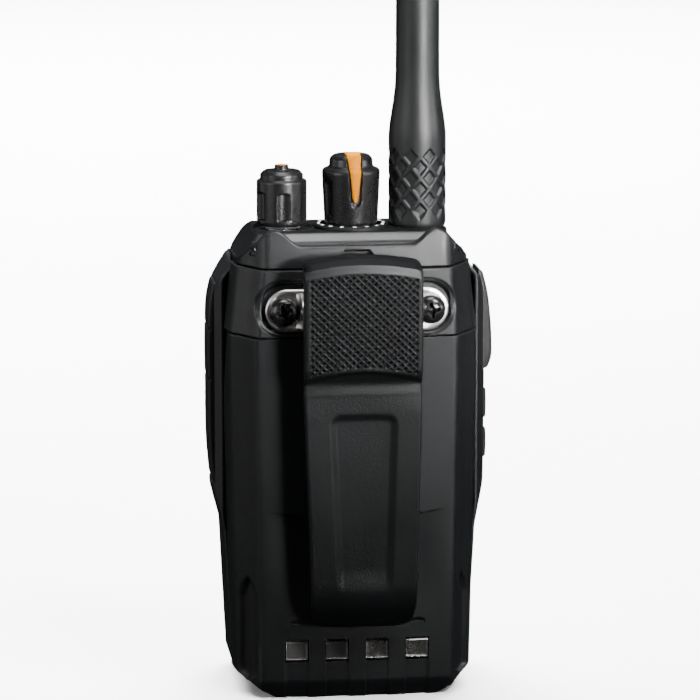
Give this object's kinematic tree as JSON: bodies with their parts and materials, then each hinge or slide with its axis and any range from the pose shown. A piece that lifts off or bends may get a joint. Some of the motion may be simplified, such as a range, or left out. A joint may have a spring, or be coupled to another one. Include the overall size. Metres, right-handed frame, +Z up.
{
  "type": "portable two-way radio",
  "caption": "Hand-held two-way radio with whip antenna, volume and channel knobs, push-to-talk button, sprung belt clip and slide-off battery pack.",
  "frame": {"origin": "centre of the base that the radio stands on, on the underside of the front housing", "axes": "+Z up along the antenna, +Y out of the loudspeaker face, -Y out of the back with the belt clip, +X to the push-to-talk side"},
  "size_m": [0.0606, 0.0473, 0.249],
  "materials": {
    "case_plastic": "fine moulded grain, matte black",
    "clip_plastic": "coarse moulded grain, matte black, with a diamond knurl",
    "knob_plastic": "smooth, satin black",
    "antenna_rubber": "matte charcoal",
    "key_rubber": "smooth rubber, slight gloss",
    "accent_orange": "satin orange",
    "nickel_plate": "bright nickel with handling marks",
    "dark_steel": "black oxide",
    "brass": "machined",
    "cast_metal": "die cast",
    "circuit_board": "solder mask",
    "cell_wrap": "shrink wrap",
    "magnet": "coated ferrite",
    "speaker_paper": "matte black",
    "lens": "clear, frosted inside"
  },
  "bodies": {
    "radio": {"front_housing": "case_plastic", "chassis": "cast_metal", "housing_gasket": "key_rubber", "rear_cover": "case_plastic", "top_cover": "case_plastic", "dial_ring": "knob_plastic", "chassis_screw_1": "nickel_plate", "chassis_screw_2": "nickel_plate", "chassis_screw_3": "nickel_plate", "chassis_screw_4": "nickel_plate", "main_board": "circuit_board", "rf_shield": "nickel_plate", "jack_block": "case_plastic", "terminal_block": "case_plastic", "antenna_socket": "brass", "push_to_talk_switch": "nickel_plate", "status_lens": "lens", "microphone": "nickel_plate", "speaker_frame": "nickel_plate", "speaker_cone": "speaker_paper", "speaker_magnet": "magnet", "speaker_cloth": "speaker_paper", "volume_potentiometer": "nickel_plate", "volume_nut": "nickel_plate", "channel_switch": "nickel_plate", "channel_nut": "nickel_plate", "clip_bracket": "nickel_plate", "hinge_pin": "dark_steel", "clip_spring": "dark_steel", "clip_screw_left": "dark_steel", "clip_screw_right": "dark_steel"},
    "volume_knob": {"volume_shaft": "nickel_plate", "volume_knob": "knob_plastic", "volume_pin": "accent_orange"},
    "channel_knob": {"channel_shaft": "nickel_plate", "channel_knob": "knob_plastic", "channel_pointer": "accent_orange"},
    "antenna": {"antenna_sheath": "antenna_rubber", "antenna_connector": "brass", "antenna_element": "brass"},
    "push_to_talk": {"push_to_talk_button": "key_rubber"},
    "side_key_lower": {"side_key_lower": "key_rubber"},
    "side_key_upper": {"side_key_upper": "key_rubber"},
    "jack_cover": {"jack_cover": "key_rubber"},
    "belt_clip": {"belt_clip": "clip_plastic"},
    "battery": {"battery_case": "case_plastic", "battery_inner_cover": "case_plastic", "battery_cell_left": "cell_wrap", "battery_cell_right": "cell_wrap", "battery_board": "circuit_board", "charge_contact_1": "nickel_plate", "charge_contact_2": "nickel_plate", "charge_contact_3": "nickel_plate", "charge_contact_4": "nickel_plate", "battery_terminal_minus": "nickel_plate", "battery_terminal_plus": "nickel_plate"},
    "battery_latch": {"battery_latch": "case_plastic"}
  },
  "joints": [
    {"name": "volume_turn", "type": "hinge", "parent": "radio", "child": "volume_knob", "pos_m": [-0.0138, 0.001, 0.1], "axis": [0, 0, -1], "range_deg": [0, 285]},
    {"name": "channel_turn", "type": "hinge", "parent": "radio", "child": "channel_knob", "pos_m": [0.0008, 0.001, 0.1], "axis": [0, 0, -1], "range_deg": [0, 337.5]},
    {"name": "antenna_turn", "type": "hinge", "parent": "radio", "child": "antenna", "pos_m": [0.0148, 0.001, 0.1], "axis": [0, 0, 1], "continuous": true},
    {"name": "push_to_talk_press", "type": "slide", "parent": "radio", "child": "push_to_talk", "axis": [-1, 0, 0], "range_m": [0, 0.001], "stiffness_N_per_m": 2000, "springref_m": -0.0003},
    {"name": "side_key_lower_press", "type": "slide", "parent": "radio", "child": "side_key_lower", "axis": [-1, 0, 0], "range_m": [0, 0.0006], "stiffness_N_per_m": 2000, "springref_m": -0.0003},
    {"name": "side_key_upper_press", "type": "slide", "parent": "radio", "child": "side_key_upper", "axis": [-1, 0, 0], "range_m": [0, 0.0006], "stiffness_N_per_m": 2000, "springref_m": -0.0003},
    {"name": "jack_cover_swing", "type": "hinge", "parent": "radio", "child": "jack_cover", "pos_m": [-0.0294, 0.0092, 0.065], "axis": [0, 0, -1], "range_deg": [0, 100]},
    {"name": "clip_open", "type": "hinge", "parent": "radio", "child": "belt_clip", "pos_m": [0, -0.0225, 0.0826], "axis": [-1, 0, 0], "range_deg": [0, 18], "stiffness_Nm_per_rad": 1, "springref_deg": -17.19, "deforming": ["clip_spring"]},
    {"name": "battery_slide", "type": "slide", "parent": "radio", "child": "battery", "axis": [0, 0, -1], "range_m": [0, 0.008]},
    {"name": "battery_latch_press", "type": "slide", "parent": "radio", "child": "battery_latch", "axis": [0, 1, 0], "range_m": [0, 0.002], "stiffness_N_per_m": 1500, "springref_m": -0.001}
  ]
}
